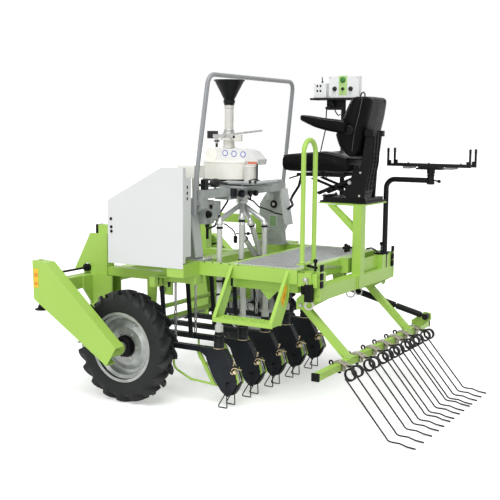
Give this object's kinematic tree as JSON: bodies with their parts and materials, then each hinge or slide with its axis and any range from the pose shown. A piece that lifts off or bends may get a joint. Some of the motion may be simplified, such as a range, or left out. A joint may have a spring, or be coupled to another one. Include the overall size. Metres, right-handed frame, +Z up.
{
  "type": "mounted plot seeder",
  "caption": "Tractor-mounted plot seeder with press wheels, hose-fed coulter rows, cone seed metering, operator seat with platform, and a trailing spring-tine harrow.",
  "frame": {"origin": "on the ground under the middle of the bounding box", "axes": "+X is the driving direction, +Y the left side, +Z up"},
  "size_m": [2.4597, 2, 2.03],
  "materials": {
    "frame_green": "light green powder coat",
    "panel_grey": "light grey powder coat",
    "tyre_rubber": "black tread rubber",
    "rim_silver": "silver paint",
    "cast_grey": "painted casting",
    "zinc": "zinc plated steel",
    "hoop_grey": "satin steel tube",
    "aluminium_grey": "milled aluminium",
    "drum_white": "cream white moulding",
    "funnel_black": "dark smoky moulding",
    "hose_grey": "pale hose",
    "coulter_dark": "dark hardened steel",
    "spring_black": "black spring steel",
    "black_steel": "black powder coat",
    "grating_steel": "galvanised grating",
    "vinyl_black": "black vinyl upholstery",
    "plastic_black": "black moulding",
    "box_grey": "grey housing",
    "tube_pale": "pale translucent tube",
    "rubber_black": "black rubber"
  },
  "bodies": {
    "machine": {"armrest": "vinyl_black", "bridge": "aluminium_grey", "cables": "rubber_black", "control_boxes": "box_grey", "control_column": "black_steel", "coulter_arms": "coulter_dark", "coulter_bodies": "coulter_dark", "cover_panel": "panel_grey", "covering_wires": "coulter_dark", "cross_shafts": "black_steel", "distributor": "aluminium_grey", "drive_motor": "aluminium_grey", "drum_hood": "drum_white", "funnel": "funnel_black", "gearbox": "cast_grey", "grating": "grating_steel", "handrail": "frame_green", "lift_chains": "zinc", "main_frame": "frame_green", "outlet_cup": "tube_pale", "pins": "zinc", "platform_frame": "frame_green", "rear_frame": "frame_green", "release_lever": "zinc", "roll_hoop": "hoop_grey", "seat_back": "vinyl_black", "seat_base": "black_steel", "seat_cushion": "vinyl_black", "seat_suspension": "plastic_black", "seed_drum": "drum_white", "seed_hoses": "hose_grey", "seed_tube": "tube_pale", "side_arm_left": "frame_green", "side_arm_right": "frame_green", "skid_rods": "frame_green", "step": "frame_green", "stub_axles": "zinc", "tower_covers": "aluminium_grey", "towers": "aluminium_grey"},
    "wheel_left": {"tyre_left": "tyre_rubber", "rim_left": "rim_silver", "hub_left": "plastic_black"},
    "wheel_right": {"tyre_right": "tyre_rubber", "rim_right": "rim_silver", "hub_right": "plastic_black"},
    "jack_foot_left": {"jack_foot_left": "rubber_black"},
    "jack_foot_right": {"jack_foot_right": "rubber_black"},
    "harrow": {"harrow_frame": "frame_green", "harrow_tines": "spring_black", "tine_clamps": "zinc", "harrow_caps": "plastic_black"},
    "strut_barrel": {"strut_barrel": "black_steel"},
    "strut_rod": {"strut_rod": "zinc"},
    "rack_arm": {"rack_arm": "black_steel"},
    "box_rack": {"box_rack": "black_steel"}
  },
  "joints": [
    {"name": "wheel_left_spin", "type": "hinge", "parent": "machine", "child": "wheel_left", "pos_m": [0.63, 0.785, 0.345], "axis": [0, 1, 0], "continuous": true},
    {"name": "wheel_right_spin", "type": "hinge", "parent": "machine", "child": "wheel_right", "pos_m": [0.63, -0.785, 0.345], "axis": [0, 1, 0], "continuous": true},
    {"name": "jack_left_slide", "type": "slide", "parent": "machine", "child": "jack_foot_left", "axis": [0, 0, -1], "range_m": [0, 0.15]},
    {"name": "jack_right_slide", "type": "slide", "parent": "machine", "child": "jack_foot_right", "axis": [0, 0, -1], "range_m": [0, 0.15]},
    {"name": "harrow_lift", "type": "hinge", "parent": "machine", "child": "harrow", "pos_m": [-0.405, 0, 0.655], "axis": [0, 1, 0], "range_deg": [0, 30]},
    {"name": "strut_swing", "type": "hinge", "parent": "machine", "child": "strut_barrel", "pos_m": [-0.17, -0.565, 0.616], "axis": [0, 1, 0], "range_deg": [0, 19.9]},
    {"name": "strut_stroke", "type": "slide", "parent": "strut_barrel", "child": "strut_rod", "axis": [-0.9699, 0, -0.2436], "range_m": [0, 0.03]},
    {"name": "rack_arm_swing", "type": "hinge", "parent": "machine", "child": "rack_arm", "pos_m": [-0.545, -0.45, 0.9], "axis": [0, 0, 1], "range_deg": [0, 90]},
    {"name": "box_rack_turn", "type": "hinge", "parent": "rack_arm", "child": "box_rack", "pos_m": [-0.845, -0.45, 1.38], "axis": [0, 0, 1], "range_deg": [-90, 90]}
  ],
  "couplings": [
    {"joint": "strut_swing", "follows": "harrow_lift", "ratio": 0.6566},
    {"joint": "strut_stroke", "follows": "harrow_lift", "m_per_rad": 0.0559}
  ]
}
